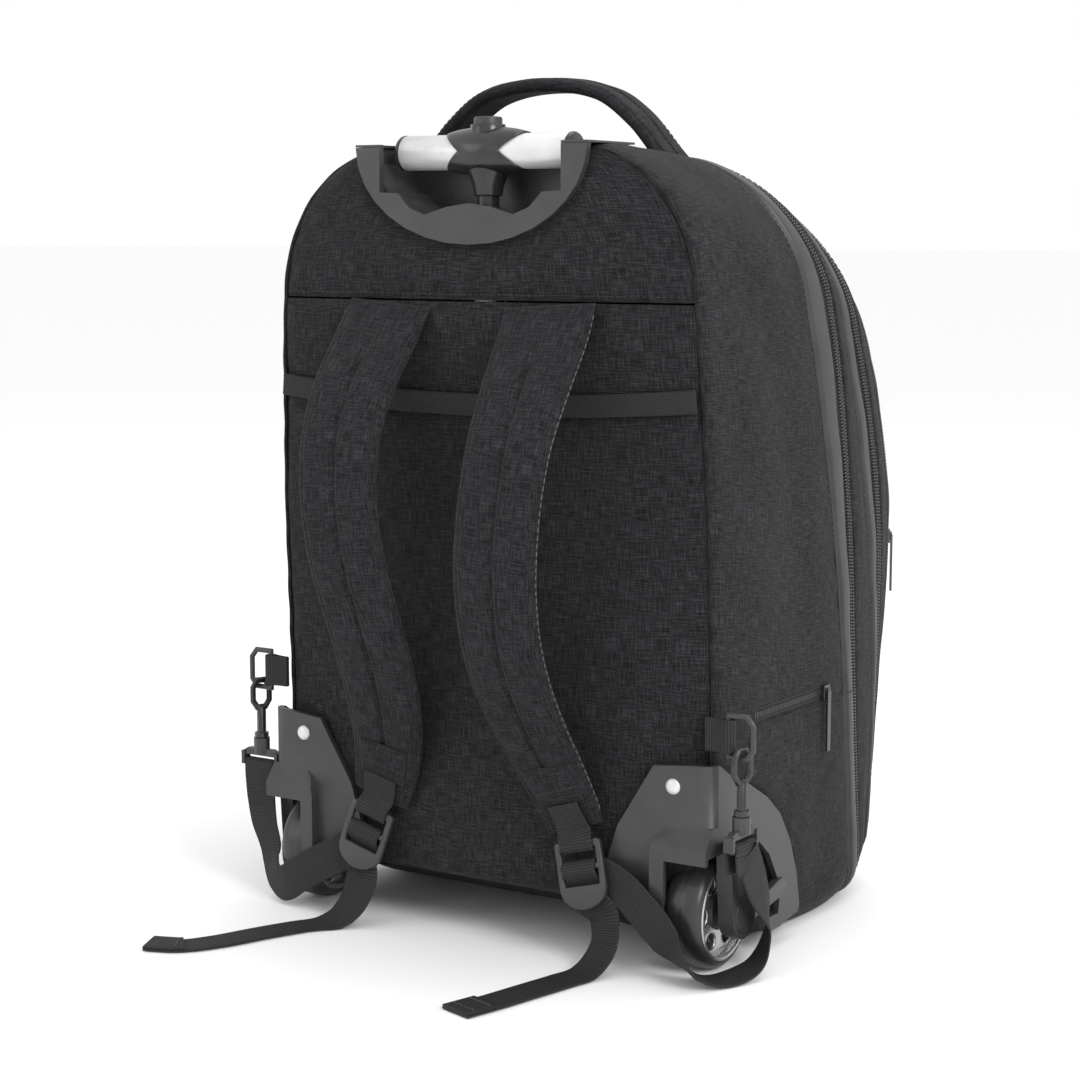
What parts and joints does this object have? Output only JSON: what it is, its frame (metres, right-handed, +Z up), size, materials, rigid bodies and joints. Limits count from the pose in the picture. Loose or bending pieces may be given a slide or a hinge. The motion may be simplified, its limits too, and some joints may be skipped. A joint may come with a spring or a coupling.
{
  "type": "wheeled backpack",
  "caption": "Soft wheeled backpack with padded shoulder straps, a carry handle, a telescopic pull handle in a moulded cup and wheels in moulded corner housings.",
  "frame": {"origin": "centre of the bounding box, at the floor that the bag stands on", "axes": "+Z up along the pole, +Y out of the front pocket, -Y towards the harness, +X to the right for someone who looks at the harness"},
  "size_m": [0.4066, 0.4518, 0.5677],
  "materials": {
    "melange_fabric": "charcoal melange weave with light flecks, matte",
    "webbing": "ribbed black webbing",
    "zip_tape": "black zip tape with a smooth coated strip",
    "moulded_plastic": "dark grey, fine moulded grain",
    "gloss_plastic": "black, smooth and shiny",
    "silver_tube": "light satin",
    "bright_metal": "bright satin",
    "tyre_rubber": "black, slightly shiny"
  },
  "bodies": {
    "bag": {"main_shell": "melange_fabric", "front_shell": "melange_fabric", "pocket_shell": "melange_fabric", "front_panel": "melange_fabric", "back_panel": "melange_fabric", "upper_back_panel": "melange_fabric", "carry_handle": "melange_fabric", "shoulder_strap_right": "melange_fabric", "shoulder_strap_left": "melange_fabric", "side_pocket_right": "melange_fabric", "side_pocket_left": "melange_fabric", "back_band": "webbing", "strap_web_right": "webbing", "strap_web_left": "webbing", "side_tab_right": "webbing", "side_tab_left": "webbing", "adjusting_web_right": "webbing", "adjusting_web_left": "webbing", "main_zip": "zip_tape", "front_zip": "zip_tape", "pocket_zip": "zip_tape", "side_zip_right": "zip_tape", "side_zip_left": "zip_tape", "handle_cup": "moulded_plastic", "axle_right": "moulded_plastic", "axle_left": "moulded_plastic", "housing_right": "moulded_plastic", "housing_left": "moulded_plastic", "ladder_lock_right": "moulded_plastic", "ladder_lock_left": "moulded_plastic", "d_ring_right": "moulded_plastic", "d_ring_left": "moulded_plastic", "hook_frame_right": "moulded_plastic", "hook_frame_left": "moulded_plastic", "snap_hook_right": "gloss_plastic", "snap_hook_left": "gloss_plastic", "pole_outer_tube": "bright_metal", "rivet_right": "bright_metal", "rivet_left": "bright_metal", "side_pull_right": "bright_metal", "side_pull_left": "bright_metal", "front_pull": "bright_metal", "second_pull": "bright_metal", "main_pull": "bright_metal"},
    "wheel_right": {"tyre_right": "tyre_rubber", "rim_right": "bright_metal"},
    "wheel_left": {"tyre_left": "tyre_rubber", "rim_left": "bright_metal"},
    "pole_middle": {"pole_middle_tube": "bright_metal"},
    "pole_grip": {"pole_stem": "gloss_plastic", "grip_yoke": "gloss_plastic", "grip_tube_left": "silver_tube", "grip_tube_right": "silver_tube", "grip_cap_left": "gloss_plastic", "grip_cap_right": "gloss_plastic"},
    "button": {"push_button": "gloss_plastic"}
  },
  "joints": [
    {"name": "wheel_right_spin", "type": "hinge", "parent": "bag", "child": "wheel_right", "pos_m": [0.15675, -0.05253, 0.038], "axis": [1, 0, 0], "continuous": true},
    {"name": "wheel_left_spin", "type": "hinge", "parent": "bag", "child": "wheel_left", "pos_m": [-0.15025, -0.05253, 0.038], "axis": [1, 0, 0], "continuous": true},
    {"name": "pole_lower_slide", "type": "slide", "parent": "bag", "child": "pole_middle", "axis": [0, 0, 1], "range_m": [0, 0.24]},
    {"name": "pole_upper_slide", "type": "slide", "parent": "pole_middle", "child": "pole_grip", "axis": [0, 0, 1], "range_m": [0, 0.24]},
    {"name": "button_press", "type": "slide", "parent": "pole_grip", "child": "button", "axis": [0, 0, -1], "range_m": [0, 0.003], "stiffness_N_per_m": 800, "springref_m": -0.003}
  ]
}
